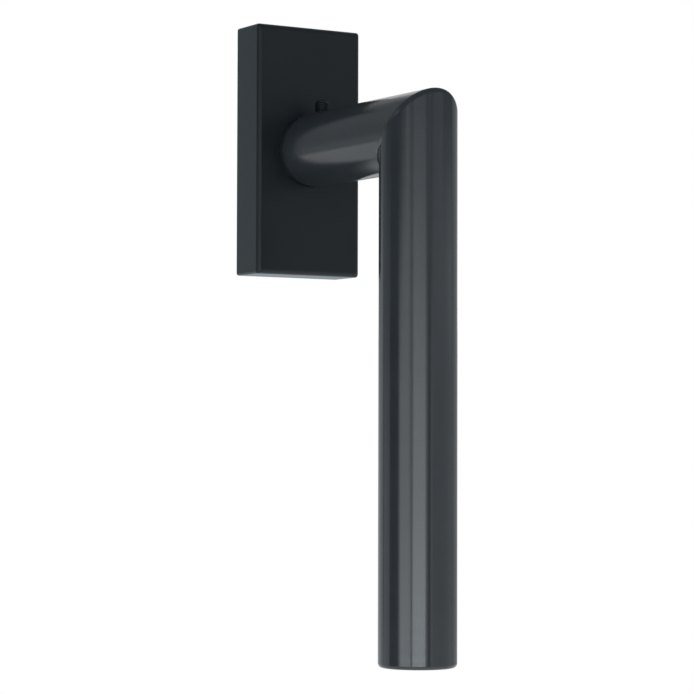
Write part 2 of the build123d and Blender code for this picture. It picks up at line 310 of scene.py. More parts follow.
@dataclass(frozen=True)
class TurnedFinish(Finish):
    """A surface from the lathe, with rings about the spindle's axis.

    Attributes:
        feed_mm: Distance from one tool mark to the next.
    """

    feed_mm: float = 0.3

    def relief(self, tree: NodeTree, place: NodeSocket) -> NodeSocket:
        """Draws the tool marks as rings.

        Args:
            tree: The material's nodes.
            place: Object coordinates.

        Returns:
            The marks' height, from 0 to 1.
        """
        marks = add_node(
            tree,
            "TexWave",
            {
                "Vector": place,
                "Scale": math.tau / (RING_RATE * self.feed_mm * MM),
                "Distortion": 0.6,
                "Detail": 2.0,
            },
            wave_type="RINGS",
            rings_direction="SPHERICAL",
        )
        return marks.outputs["Fac"]


# Stoved black lacquer on a tube that was brushed on a belt as it turned. The fine rings show through and
# draw the gloss out along the tube. Real ones are 0.1 mm wide; they are drawn wider so that they show.
GRIP_LACQUER = Finish(
    name="brushed_tube_lacquer_grip", colour="#2b3034", drift_colour="#2e3337", roughness=0.17,
    roughness_spread=0.03, grain_mm=(30.0, 30.0, 0.35), drift_mm=12.0, relief_mm=0.0015,
    relief_strength=0.3, ior=1.54, brushed_about=Axis.Z, anisotropy=0.6,
)
NECK_LACQUER = replace(
    GRIP_LACQUER, name="brushed_tube_lacquer_neck", grain_mm=(30.0, 0.35, 30.0), specular=0.45,
    brushed_about=Axis.Y,
)
# The same lacquer on the plug, which has no brushing.
PLUG_LACQUER = replace(
    GRIP_LACQUER, name="turned_plug_lacquer", roughness=0.32, grain_mm=(0.5, 0.5, 0.5), drift_mm=6.0,
    relief_mm=0.002, brushed_about=None, anisotropy=0.0,
)
# Satin black powder coat on drawn sheet: deep black, with a wide dull gloss and a very fine pebble.
COVER_COAT = Finish(
    name="satin_black_powder_coat", colour="#14191d", drift_colour="#161b1f", roughness=0.42,
    roughness_spread=0.03, grain_mm=(0.6, 0.6, 0.6), drift_mm=14.0, relief_mm=0.003, relief_strength=0.3,
    specular=0.3, sheen=0.36,
)
# Die-cast zinc as it leaves the mould: dull grey, with flow marks and a slightly pitted skin.
CAST_ZINC = Finish(
    name="die_cast_zinc", colour="#9c9ea1", drift_colour="#868a8e", roughness=0.5, roughness_spread=0.1,
    grain_mm=(0.7, 0.7, 0.7), drift_mm=9.0, relief_mm=0.03, metallic=1.0,
)
# Cold-rolled spring strip: bright grey with rolling streaks along its length.
SPRING_STRIP = Finish(
    name="rolled_spring_steel", colour="#a2a6ab", drift_colour="#8c9197", roughness=0.3,
    roughness_spread=0.08, grain_mm=(12.0, 0.3, 12.0), drift_mm=6.0, relief_mm=0.005, metallic=1.0,
)
# Moulded black nylon: matt, with the eroded grain of the mould.
NYLON = Finish(
    name="moulded_black_nylon", colour="#1b2125", drift_colour="#1f2529", roughness=0.6,
    roughness_spread=0.08, grain_mm=(0.3, 0.3, 0.3), drift_mm=8.0, relief_mm=0.01, ior=1.53,
    specular=0.25,
)
# Bright zinc plating: silvery with a cold cast, clouded by the bath.
ZINC_PLATE = Finish(
    name="bright_zinc_plating", colour="#c3c9cf", drift_colour="#aab2bb", roughness=0.3,
    roughness_spread=0.1, grain_mm=(0.8, 3.0, 0.8), drift_mm=5.0, relief_mm=0.004, metallic=1.0,
)
# Free-cutting steel from the lathe: fine rings, finer in truth than the 0.3 mm drawn here.
LATHE_STEEL = TurnedFinish(
    name="turned_steel", colour="#b4b5b8", drift_colour="#a2a3a7", roughness=0.32, roughness_spread=0.06,
    grain_mm=(0.3, 0.3, 0.3), drift_mm=6.0, relief_mm=0.004, metallic=1.0,
)
# Black oxide on steel: near black, oiled, with a dull metallic gloss.
BLACK_OXIDE = Finish(
    name="black_oxide_steel", colour="#3c4044", drift_colour="#31353a", roughness=0.36,
    roughness_spread=0.06, grain_mm=(0.25, 0.25, 0.25), drift_mm=1.5, relief_mm=0.003, metallic=1.0,
)


def all_of(mesh: BMesh) -> list[BMVert | BMEdge | BMFace]:
    """A mesh's vertices, edges and faces."""
    return [*mesh.verts, *mesh.edges, *mesh.faces]


def open_edges(mesh: BMesh) -> list[BMEdge]:
    """A mesh's edges with a face on one side only."""
    return [edge for edge in mesh.edges if edge.is_boundary]


def face_outwards(mesh: BMesh) -> None:
    """Turns all of a mesh's faces outwards."""
    bmesh.ops.recalc_face_normals(mesh, faces=mesh.faces[:])


def soften_edges(mesh: BMesh, edges: list[BMEdge], width: float, segments: int) -> None:
    """Rounds edges with the same number of faces across each.

    Args:
        mesh: The mesh that the edges are in.
        edges: The edges to round.
        width: How far the round reaches on each side.
        segments: Faces across the round.
    """
    bmesh.ops.bevel(
        mesh, geom=edges, offset=width, offset_type="OFFSET", affect="EDGES", segments=segments,
        profile=0.5, material=-1, clamp_overlap=True,
    )


@dataclass
class Lathe:
    """A round piece that is turned, sawn and threaded about one axis.

    Attributes:
        centre: The point on the axis from which positions along it are counted.
        axis: The direction of the axis.
        steps: Faces round one turn.
        mesh: The mesh being made.
    """

    centre: Vector
    axis: Axis
    steps: int = ROUND_STEPS
    mesh: BMesh = field(default_factory=bmesh.new)

    def point(self, radius: float, along: float) -> Vector:
        """The point at a radius and a position along the axis."""
        return self.centre + self.axis.along * along + ACROSS * radius

    def polar(self, vert: BMVert) -> tuple[float, float]:
        """Measures a vertex.

        Args:
            vert: The vertex.

        Returns:
            Its radius and its position along the axis.
        """
        offset = vert.co - self.centre
        along = offset.dot(self.axis.along)
        return (offset - self.axis.along * along).length, along

    def turn(self, profile: list[tuple[float, float]], closed: bool = True) -> None:
        """Turns a profile through a full circle.

        Args:
            profile: Radius and position along the axis of each point.
            closed: Whether the last point joins the first, as on a ring.
        """
        verts = [self.mesh.verts.new(self.point(radius, along)) for radius, along in profile]
        ends = verts[1:] + verts[:1] if closed else verts[1:]
        edges = [self.mesh.edges.new(pair) for pair in zip(verts, ends)]
        bmesh.ops.spin(
            self.mesh, geom=verts + edges, cent=self.centre, axis=self.axis.along, angle=math.tau,
            steps=self.steps, use_merge=True,
        )
        bmesh.ops.remove_doubles(self.mesh, verts=self.mesh.verts[:], dist=WELD)
        face_outwards(self.mesh)

    def soften(self, radius: float, along: float, width: float, segments: int) -> None:
        """Rounds the edge at one circle.

        Args:
            radius: The circle's radius.
            along: Its position along the axis.
            width: How far the round reaches on each side.
            segments: Faces across the round.
        """
        def near(vert: BMVert) -> bool:
            at_radius, at_along = self.polar(vert)
            return abs(at_radius - radius) < REACH_TOLERANCE and abs(at_along - along) < REACH_TOLERANCE

        circle = [edge for edge in self.mesh.edges if all(near(vert) for vert in edge.verts)]
        soften_edges(self.mesh, circle, width, segments)

    def saw(self, point: Vector, normal: Vector) -> None:
        """Cuts off what lies past a plane.

        Args:
            point: A point on the plane.
            normal: The plane's normal, towards the side that is cut off.
        """
        bmesh.ops.bisect_plane(
            self.mesh, geom=all_of(self.mesh), dist=WELD, plane_co=point, plane_no=normal,
            clear_outer=True,
        )

    def close(self) -> None:
        """Closes the wall of a tube at its open end."""
        bmesh.ops.bridge_loops(self.mesh, edges=open_edges(self.mesh))
        face_outwards(self.mesh)

    def thread(self, crest: float, root: float, pitch: float, low: float, high: float) -> None:
        """Winds the ridge of a right-hand screw thread on the core.

        Args:
            crest: Outer radius.
            root: Radius of the core.
            pitch: Rise of one turn.
            low: Where the thread starts along the axis.
            high: Where it ends.
        """
        flat, foot, sunk = pitch * CREST_HALF, pitch * FOOT_HALF, root - pitch * FOOT_SUNK
        turns = (high - low - 2 * foot) / pitch
        steps = round(turns * self.steps)
        profile = [(sunk, -foot), (crest, -flat), (crest, flat), (sunk, foot)]
        start = low + foot
        verts = [self.mesh.verts.new(self.point(radius, start + along)) for radius, along in profile]
        first = self.mesh.faces.new(verts)
        rise = self.axis.along * (turns * pitch / steps)
        bmesh.ops.spin(
            self.mesh, geom=[*verts, *first.edges], cent=self.centre, axis=self.axis.along, dvec=rise,
            angle=turns * math.tau, steps=steps,
        )
        bmesh.ops.holes_fill(self.mesh, edges=open_edges(self.mesh), sides=len(profile))
        face_outwards(self.mesh)

    def socket(self, outline: list[Vector], rim: list[BMEdge], depth: Vector, floor: float) -> None:
        """Sinks a driver's recess into an open end.

        Args:
            outline: Corners of the recess, in order.
            rim: The edges of the open end round it.
            depth: The way down to the floor of the recess.
            floor: How much deeper the middle of the floor is.
        """
        corners = [self.mesh.verts.new(corner) for corner in outline]
        mouth = [self.mesh.edges.new(pair) for pair in zip(corners, corners[1:] + corners[:1])]
        bmesh.ops.triangle_fill(self.mesh, edges=mouth + rim, use_beauty=True)
        wall = bmesh.ops.extrude_edge_only(self.mesh, edges=mouth)["geom"]
        low_verts = [part for part in wall if isinstance(part, BMVert)]
        bmesh.ops.translate(self.mesh, verts=low_verts, vec=depth)
        low_edges = [part for part in wall if isinstance(part, BMEdge) and part.is_boundary]
        base = bmesh.ops.contextual_create(self.mesh, geom=low_edges)["faces"]
        middle = bmesh.ops.poke(self.mesh, faces=base)["verts"]
        bmesh.ops.translate(self.mesh, verts=middle, vec=depth.normalized() * floor)
        face_outwards(self.mesh)


def as_object(mesh: BMesh, name: str) -> Object:
    """Makes a finished bmesh an object at the origin, smooth but for its true corners.

    Args:
        mesh: The finished mesh, which is freed.
        name: The object's name.

    Returns:
        The object, linked into the scene.
    """
    data = bpy.data.meshes.new(name)
    mesh.to_mesh(data)
    mesh.free()
    data.shade_smooth()
    data.set_sharp_from_angle(angle=SHARP_ANGLE)
    made = bpy.data.objects.new(name, data)
    bpy.context.scene.collection.objects.link(made)
    return made


@dataclass
class SubAssembly:
    """Pieces that belong together.

    Attributes:
        nodes: The frame's own objects by name.
    """

    nodes: dict[str, Object]

    def stand_in(self, mesh: BMesh, node: str, body: Body, slot: Slot, finish: Finish) -> Object:
        """Puts a finer mesh in the place of one of the frame's nodes.

        Args:
            mesh: The finer mesh.
            node: The node that it stands for.
            body: The body that it rides on.
            slot: Its material slot in the record; not used.
            finish: Its finish.

        Returns:
            The new piece.
        """
        piece = as_object(mesh, node + "_fine")
        even = piece.modifiers.new("even_shading", "WEIGHTED_NORMAL")
        even.keep_sharp = True
        piece.data.materials.append(finish.material())
        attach(piece, body.value)
        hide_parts(node)
        LOG.info("%s: %d faces, %s", piece.name, len(piece.data.polygons), finish.name)
        return piece

    def dress(self, finish: Finish, *names: str) -> None:
        """Gives a finish to nodes that keep their own mesh.

        Args:
            finish: The finish.
            *names: The nodes.
        """
        for name in names:
            for place in self.nodes[name].material_slots:
                place.material = finish.material()
            LOG.info("%s: %s", name, finish.name)


@dataclass
class Rosette(SubAssembly):
    """The cover with everything under it.

    Attributes:
        cover_wall: Thickness of the cover.
        front_edge: Radius of the edges round its front.
        corner_edge: Radius of the edges that run back from its corners.
        front_segments: Faces across the edges round its front.
        corner_segments: Faces across the edges at its corners.
        collar_hole: Radius of the hole for the bush's collar.
        hole_edge: Radius of that hole's edge.
        collar: Outer radius of the bush's collar.
        collar_bore: Radius of its bearing.
        collar_edge: Radius of its front edge.
        flange: Thickness of its flange.
    """

    cover_wall: float = 1.5 * MM
    front_edge: float = 1.3 * MM
    corner_edge: float = 0.7 * MM
    front_segments: int = 8
    corner_segments: int = 4
    collar_hole: float = 9.57 * MM
    hole_edge: float = 0.25 * MM
    collar: float = 9.37 * MM
    collar_bore: float = 6.07 * MM
    collar_edge: float = 0.4 * MM
    flange: float = 1.0 * MM

    def build(self) -> None:
        """Builds the cover and the bush and dresses the rest."""
        self.stand_in(self.cover(), "rosette_cover", Body.ROSETTE, Slot.COATED_STEEL, COVER_COAT)
        self.stand_in(self.bush(), "collar_bush", Body.ROSETTE, Slot.BLACK_NYLON, NYLON)
        self.dress(CAST_ZINC, "base_plate")
        self.dress(SPRING_STRIP, "cover_clips", "detent_spring_left", "detent_spring_right")
        self.dress(ZINC_PLATE, "retainer_plate", "retainer_rivets")

    def tray(self, mesh: BMesh, low: Vector, high: Vector, soft: bool) -> None:
        """Adds a box that is open to the sash and has the collar's hole in its front.

        Args:
            mesh: The mesh that gets it.
            low: Its lowest corner.
            high: Its highest corner.
            soft: Whether its edges are rounded.
        """
        middle, size = (low + high) / 2, high - low
        place = Matrix.Translation(middle) @ Matrix.Diagonal((*size, 1))
        box = bmesh.ops.create_cube(mesh, size=1.0, matrix=place)
        faces = {face for vert in box["verts"] for face in vert.link_faces}
        back = max(faces, key=lambda face: face.calc_center_median().y)
        front = min(faces, key=lambda face: face.calc_center_median().y)
        bmesh.ops.delete(mesh, geom=[back], context="FACES_ONLY")
        if soft:
            soften_edges(mesh, list(front.edges), self.front_edge, self.front_segments)
            soften_edges(mesh, self.corner_edges(mesh, high), self.corner_edge, self.corner_segments)
            flat = [face for face in mesh.faces if abs(face.calc_center_median().y - low.y) < WELD]
            front = max(flat, key=lambda face: face.calc_area())
        rim = list(front.edges)
        bmesh.ops.delete(mesh, geom=[front], context="FACES_ONLY")
        turned = Matrix.Translation((0, low.y, 0)) @ Matrix.Rotation(math.pi / 2, 4, "X")
        hole = bmesh.ops.create_circle(
            mesh, cap_ends=False, segments=ROUND_STEPS, radius=self.collar_hole, matrix=turned
        )
        ring = {edge for vert in hole["verts"] for edge in vert.link_edges}
        bmesh.ops.triangle_fill(mesh, edges=[*rim, *ring], use_beauty=True)

    def corner_edges(self, mesh: BMesh, high: Vector) -> list[BMEdge]:
        """Finds the edges that run back from the corners of the front.

        Args:
            mesh: The box, with its front edges rounded.
            high: Its highest corner.

        Returns:
            The edges on which the rounds of the front and the sides meet in pairs.
        """
        def on_mitre(vert: BMVert) -> bool:
            return abs((high.x - abs(vert.co.x)) - (high.z - abs(vert.co.z))) < WELD

        def one_corner(edge: BMEdge) -> bool:
            here, there = (vert.co for vert in edge.verts)
            return here.x * there.x > 0 and here.z * there.z > 0

        return [
            edge for edge in mesh.edges
            if one_corner(edge) and all(on_mitre(vert) for vert in edge.verts)
        ]

    def cover(self) -> BMesh:
        """Builds the cover.

        Returns:
            A closed shell with rounded outer edges.
        """
        low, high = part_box("rosette_cover")
        mesh = bmesh.new()
        self.tray(mesh, low, high, True)
        inset = Vector((self.cover_wall, 0, self.cover_wall))
        self.tray(mesh, low + inset + Vector((0, self.cover_wall, 0)), high - inset, False)
        back = [
            edge for edge in open_edges(mesh)
            if all(abs(vert.co.y - high.y) < WELD for vert in edge.verts)
        ]
        bmesh.ops.triangle_fill(mesh, edges=back, use_beauty=True)
        bmesh.ops.bridge_loops(mesh, edges=open_edges(mesh))
        face_outwards(mesh)
        Lathe(Vector(), Axis.Y, mesh=mesh).soften(self.collar_hole, low.y, self.hole_edge, segments=3)
        return mesh

    def bush(self) -> BMesh:
        """Builds the bush with its flange and collar.

        Returns:
            A closed ring.
        """
        low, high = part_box("collar_bush")
        work = Lathe(Vector(), Axis.Y)
        shoulder = high.y - self.flange
        work.turn([
            (self.collar_bore, high.y), (high.x, high.y), (high.x, shoulder), (self.collar, shoulder),
            (self.collar, low.y), (self.collar_bore, low.y),
        ])
        work.soften(self.collar, low.y, self.collar_edge, segments=4)
        return work.mesh


@dataclass
class FixingScrews(SubAssembly):
    """The two countersunk screws under the cover.

    Attributes:
        diameter: Thread diameter.
        pitch: Thread pitch.
        core: Radius of the thread's core.
        head: Radius of the head.
        face_share: Radius of the head's flat face, as a share of the head's.
        rim_depth: How far the head's rim lies behind that face.
        shank: Radius of the shank.
        thread_start: Where the thread starts, past the pegs.
        run_in: Length over which the shank narrows to the core.
        recess_width: Width of each arm of the cross recess.
        recess_length: Length from end to end of an arm.
        recess_depth: Depth of the recess.
        recess_floor: How much deeper the middle of its floor is.
        tip: Width of the chamfer at the tip.
    """

    diameter: float = 5.0 * MM
    pitch: float = 0.8 * MM
    core: float = 2.03 * MM
    head: float = 4.6 * MM
    face_share: float = 0.93
    rim_depth: float = 0.25 * MM
    shank: float = 2.2 * MM
    thread_start: float = 5.2 * MM
    run_in: float = 0.3 * MM
    recess_width: float = 1.1 * MM
    recess_length: float = 4.8 * MM
    recess_depth: float = 1.7 * MM
    recess_floor: float = 0.3 * MM
    tip: float = 0.5 * MM

    def build(self) -> None:
        """Builds one screw, copies it to the other peg and dresses both."""
        low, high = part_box("mounting_screws")
        height = high.z - self.head
        work = Lathe(Vector((0, 0, height)), Axis.Y, SMALL_STEPS)
        neck = low.y + self.head - self.shank
        work.turn(
            [
                (self.head * self.face_share, low.y), (self.head, low.y + self.rim_depth),
                (self.shank, neck), (self.shank, self.thread_start),
                (self.core, self.thread_start + self.run_in),
                (self.core, high.y - self.tip), (self.core - self.tip, high.y), (0.0, high.y),
            ],
            closed=False,
        )
        rim = open_edges(work.mesh)
        half_width, half_length = self.recess_width / 2, self.recess_length / 2
        arm = [Vector((half_width, 0, half_width)), Vector((half_length, 0, half_width)),
               Vector((half_length, 0, -half_width))]
        outline = [
            Vector((0, low.y, height)) + Matrix.Rotation(quarter * math.pi / 2, 3, "Y") @ corner
            for quarter in range(4) for corner in arm
        ]
        work.socket(outline, rim, Vector((0, self.recess_depth, 0)), self.recess_floor)
        work.thread(self.diameter / 2, self.core, self.pitch, self.thread_start, high.y - self.tip)
        copied = bmesh.ops.duplicate(work.mesh, geom=all_of(work.mesh))["geom"]
        lower = [part for part in copied if isinstance(part, BMVert)]
        bmesh.ops.translate(work.mesh, verts=lower, vec=Vector((0, 0, -2 * height)))
        self.stand_in(work.mesh, "mounting_screws", Body.ROSETTE, Slot.ZINC_PLATED_STEEL, ZINC_PLATE)


@dataclass
class Lever(SubAssembly):
    """The mitred tubes with the parts that turn with them.

    Attributes:
        bore: Radius inside the tubes.
        root_edge: Radius of the edge at the neck's root.
        end_edge: Radius of the edge at the grip's end.
        mitre_edge: Radius of the ground edge along the mitre.
        mitre_segments: Faces across that edge on each tube.
        plug_edge: Width of the seam round the plug.
        grub_hole: Radius of the hole for the grub screw.
        hole_land: Distance from that hole to the next edge loops.
        ring_bore: Radius inside the glide ring.
        ring_edge: Radius of the glide ring's edges.
    """

    bore: float = 8.5 * MM
    root_edge: float = 0.8 * MM
    end_edge: float = 1.0 * MM
    mitre_edge: float = 1.35 * MM
    mitre_segments: int = 16
    plug_edge: float = 0.15 * MM
    grub_hole: float = 2.05 * MM
    hole_land: float = 0.3 * MM
    ring_bore: float = 6.12 * MM
    ring_edge: float = 0.15 * MM

    def build(self) -> None:
        """Builds the tubes, the plug and the glide ring and dresses the rest."""
        neck = self.stand_in(self.neck(), "neck_tube", Body.LEVER, Slot.BLACKENED_STEEL, NECK_LACQUER)
        self.drill(neck)
        self.stand_in(self.grip(), "grip_tube", Body.LEVER, Slot.BLACKENED_STEEL, GRIP_LACQUER)
        self.stand_in(self.plug(), "grip_end_plug", Body.LEVER, Slot.BLACKENED_STEEL, PLUG_LACQUER)
        self.stand_in(self.ring(), "glide_ring", Body.LEVER, Slot.BLACK_NYLON, NYLON)
        self.dress(ZINC_PLATE, "spindle", "spindle_pin")
        self.dress(LATHE_STEEL, "neck_insert", "detent_rotor")
        self.dress(SPRING_STRIP, "spring_washer")
        self.dress(NYLON, "thrust_washer")

    def corner(self) -> tuple[Vector, float]:
        """Finds where the tubes' axes cross.

        Returns:
            That point and the tubes' outer radius.
        """
        low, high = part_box("grip_tube")
        return Vector((0, (low.y + high.y) / 2, 0)), (high.y - low.y) / 2

    def neck(self) -> BMesh:
        """Builds the neck.

        Returns:
            A closed tube along Y with its mitre.
        """
        corner, radius = self.corner()
        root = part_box("neck_tube")[1].y
        grub, land = self.grub_axis(), self.grub_hole + self.hole_land
        far = corner.y - 2 * radius
        work = Lathe(Vector(), Axis.Y)
        work.turn([
            (self.bore, root), (radius, root), (radius, grub + land), (radius, grub - land),
            (radius, far), (self.bore, far),
        ])
        work.soften(radius, root, self.root_edge, segments=5)
        work.saw(corner, MITRE)
        self.grind(work, Axis.Y.along, -Axis.Z.along)
        return work.mesh

    def grip(self) -> BMesh:
        """Builds the grip.

        Returns:
            A closed tube along Z with its mitre.
        """
        corner, radius = self.corner()
        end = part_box("grip_tube")[0].z
        work = Lathe(corner, Axis.Z)
        work.turn([(self.bore, end), (radius, end), (radius, 2 * radius), (self.bore, 2 * radius)])
        work.soften(radius, end, self.end_edge, segments=6)
        work.saw(corner, -MITRE)
        self.grind(work, -Axis.Z.along, Axis.Y.along)
        return work.mesh

    def grind(self, tube: Lathe, along: Vector, other: Vector) -> None:
        """Grinds a tube's half of the mitre round and closes its wall there.

        Every line along a tube meets its partner on the other tube at a right angle, outside and inside
        the bend alike. Each such corner gets the same round, so the tubes still meet all the way.

        Args:
            tube: The tube, sawn to the mitre.
            along: The way from the mitre along this tube.
            other: The way from the mitre along the other tube.
        """
        corner, radius = self.corner()
        turns = [math.pi / 4 * step / self.mitre_segments for step in range(self.mitre_segments)]
        reaches = [self.mitre_edge * (1 - math.sin(turn)) for turn in turns]

        def loop_at(reach: float) -> list[BMVert]:
            place = corner + along * reach
            return [
                vert for vert in tube.mesh.verts
                if abs((vert.co - place).dot(MITRE)) < REACH_TOLERANCE
                and tube.polar(vert)[0] > radius - REACH_TOLERANCE
            ]

        for reach in reaches:
            place = corner + along * reach
            bmesh.ops.bisect_plane(
                tube.mesh, geom=all_of(tube.mesh), dist=WELD, plane_co=place, plane_no=MITRE
            )
        moves = [(loop_at(0.0), (along + other) * self.mitre_edge * (1 - math.sqrt(0.5)))]
        for turn, reach in zip(turns, reaches):
            moves.append((loop_at(reach), other * self.mitre_edge * (1 - math.cos(turn))))
        for verts, shift in moves:
            bmesh.ops.translate(tube.mesh, verts=verts, vec=shift)
        tube.close()

    def grub_axis(self) -> float:
        """The grub screw's place along Y."""
        low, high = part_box("grub_screw")
        return (low.y + high.y) / 2

    def drill(self, neck: Object) -> None:
        """Drills the hole for the grub screw through the top of the neck.

        Args:
            neck: The neck's object.
        """
        radius = self.corner()[1]
        start, stop = radius / 2, 2 * radius
        drill = Lathe(Vector((0, self.grub_axis(), 0)), Axis.Z, DRILL_STEPS)
        profile = [(0.0, start), (self.grub_hole, start), (self.grub_hole, stop), (0.0, stop)]
        drill.turn(profile, closed=False)
        cutter = as_object(drill.mesh, "grub_drill")
        cut = neck.modifiers.new("grub_hole", "BOOLEAN")
        cut.operation, cut.solver, cut.object = "DIFFERENCE", "EXACT", cutter
        even = neck.modifiers["even_shading"]
        even.show_viewport = False
        state = bpy.context.evaluated_depsgraph_get()
        drilled = bpy.data.meshes.new_from_object(neck.evaluated_get(state))
        even.show_viewport = True
        neck.modifiers.remove(cut)
        drilled.set_sharp_from_angle(angle=SHARP_ANGLE)
        old, neck.data = neck.data, drilled
        bpy.data.meshes.remove(old)
        bpy.data.objects.remove(cutter)
        LOG.info("%s: drilled, %d faces", neck.name, len(drilled.polygons))

    def plug(self) -> BMesh:
        """Builds the plug in the grip's mouth.

        Returns:
            A closed disc with an eased lower edge.
        """
        low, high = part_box("grip_end_plug")
        corner = self.corner()[0]
        radius = (high.x - low.x) / 2
        work = Lathe(corner, Axis.Z)
        work.turn([(0.0, low.z), (radius, low.z), (radius, high.z), (0.0, high.z)], closed=False)
        work.soften(radius, low.z, self.plug_edge, segments=3)
        return work.mesh

    def ring(self) -> BMesh:
        """Builds the glide ring between bush and neck.

        Returns:
            A closed flat ring with soft outer edges.
        """
        low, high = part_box("glide_ring")
        work = Lathe(Vector(), Axis.Y)
        work.turn([(self.ring_bore, low.y), (high.x, low.y), (high.x, high.y), (self.ring_bore, high.y)])
        for side in (low.y, high.y):
            work.soften(high.x, side, self.ring_edge, segments=3)
        return work.mesh


@dataclass
class GrubScrew(SubAssembly):
    """The set screw on top of the neck.

    Attributes:
        pitch: Thread pitch.
        core: Radius of the thread's core.
        chamfer: Width of the chamfer at each end.
        key: Width of the hexagon key.
        key_depth: Depth of its socket.
        key_floor: How much deeper the middle of the socket's floor is.
    """

    pitch: float = 0.5 * MM
    core: float = 1.7 * MM
    chamfer: float = 0.45 * MM
    key: float = 2.0 * MM
    key_depth: float = 2.0 * MM
    key_floor: float = 0.3 * MM

    def build(self) -> None:
        """Builds the screw with its socket and thread."""
        low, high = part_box("grub_screw")
        centre = Vector((0, (low.y + high.y) / 2, 0))
        work = Lathe(centre, Axis.Z, SMALL_STEPS)
        work.turn(
            [
                (0.0, low.z), (self.core - self.chamfer, low.z), (self.core, low.z + self.chamfer),
                (self.core, high.z - self.chamfer / 2), (self.core - self.chamfer / 2, high.z),
            ],
            closed=False,
        )
        rim = open_edges(work.mesh)
        corner = Vector((self.key / math.sqrt(3), 0, high.z))
        outline = [centre + Matrix.Rotation(sixth * math.pi / 3, 3, "Z") @ corner for sixth in range(6)]
        work.socket(outline, rim, Vector((0, 0, -self.key_depth)), self.key_floor)
        work.thread(high.x, self.core, self.pitch, low.z + self.chamfer, high.z - self.chamfer / 2)
        self.stand_in(work.mesh, "grub_screw", Body.GRUB_SCREW, Slot.BLACK_OXIDE_STEEL, BLACK_OXIDE)


@dataclass(frozen=True)
class Panel:
    """An upright rectangle of the studio that faces the grip.

    Attributes:
        name: The panel's name.
        bearing: Its direction from the grip in degrees, from straight out into the room towards +X.
        spread: Its width as an angle seen from the grip, in degrees.
        distance: Its distance from the grip.
        low: Height of its lower edge.
        high: Height of its upper edge.
        brightness: Its brightness at its foot, where 1 shows as white.
        top_share: Share of the brightness that is left at its upper edge.
    """

    name: str
    bearing: float
    spread: float
    distance: float
    low: float
    high: float
    brightness: float
    top_share: float = 0.0

    @property
    def size(self) -> tuple[float, float]:
        """The panel's width and height."""
        return 2 * self.distance * math.tan(math.radians(self.spread / 2)), self.high - self.low

    def stance(self, target: Vector) -> Matrix:
        """Works out where the panel stands.

        Args:
            target: A point on the grip's axis.

        Returns:
            Its place, with its height along local Y and the grip behind its back, along local -Z.
        """
        turn = math.radians(self.bearing)
        outward = Vector((math.sin(turn), -math.cos(turn), 0))
        middle = Vector((target.x, target.y, (self.low + self.high) / 2)) + outward * self.distance
        return Matrix.Translation(middle) @ outward.to_track_quat("Z", "Y").to_matrix().to_4x4()


@dataclass(frozen=True)
class Softbox(Panel):
    """A lamp that is brightest at its foot.

    Attributes:
        fall: How steeply it fades upwards, where 1 is evenly.
    """

    fall: float = 1.3

    def place(self, target: Vector) -> None:
        """Adds the lamp.

        Args:
            target: A point on the grip's axis.
        """
        lamp = bpy.data.lights.new(self.name, "AREA")
        lamp.shape, (lamp.size, lamp.size_y) = "RECTANGLE", self.size
        lamp.energy = math.pi * lamp.size * lamp.size_y * self.brightness
        lamp.color = linear(STUDIO_WHITE)[:3]
        tree = empty_tree(lamp)
        place = add_node(tree, "NewGeometry").outputs["Parametric"]
        across = add_node(tree, "SeparateXYZ", {"Vector": place})
        level = remap(tree, across.outputs["Y"], (0.0, 1.0), (1.0, self.top_share))
        fade = add_node(tree, "Math", {0: level, 1: self.fall}, operation="POWER")
        glow = add_node(tree, "Emission", {"Strength": fade.outputs["Value"]})
        add_node(tree, "OutputLight", {"Surface": glow.outputs["Emission"]})
        holder = bpy.data.objects.new(self.name, lamp)
        holder.matrix_world = self.stance(target)
        holder.visible_camera = False
        bpy.context.scene.collection.objects.link(holder)


@dataclass(frozen=True)
class Card(Panel):
    """A bright, grey or black card that shows only in the object's gloss, even unless told to fade."""

    top_share: float = 1.0

    def place(self, target: Vector) -> None:
        """Adds the card.

        Args:
            target: A point on the grip's axis.
        """
        mesh = bmesh.new()
        reach = self.stance(target) @ Matrix.Diagonal((*self.size, 1, 1))
        bmesh.ops.create_grid(mesh, x_segments=1, y_segments=1, size=0.5, matrix=reach)
        foot, top = (self.low, self.brightness), (self.high, self.brightness * self.top_share)
        show_in_gloss(as_object(mesh, self.name), foot, top)


def show_in_gloss(card: Object, foot: tuple[float, float], top: tuple[float, float]) -> None:
    """Gives a card of the studio its grey and hides it from all but mirror rays.

    Args:
        card: The card.
        foot: The height of its foot and the grey there, where 1 is white.
        top: The height of its upper edge and the grey there.
    """
    grey = bpy.data.materials.new(card.name)
    tree = empty_tree(grey)
    height = add_node(tree, "SeparateXYZ", {"Vector": add_node(tree, "TexCoord").outputs["Object"]})
    heights, greys = zip(foot, top)
    fade = remap(tree, height.outputs["Z"], heights, greys)
    glow = add_node(tree, "Emission", {"Color": linear(STUDIO_WHITE), "Strength": fade})
    add_node(tree, "OutputMaterial", {"Surface": glow.outputs["Emission"]})
    card.data.materials.append(grey)
    card.visible_camera = card.visible_diffuse = card.visible_transmission = card.visible_shadow = False


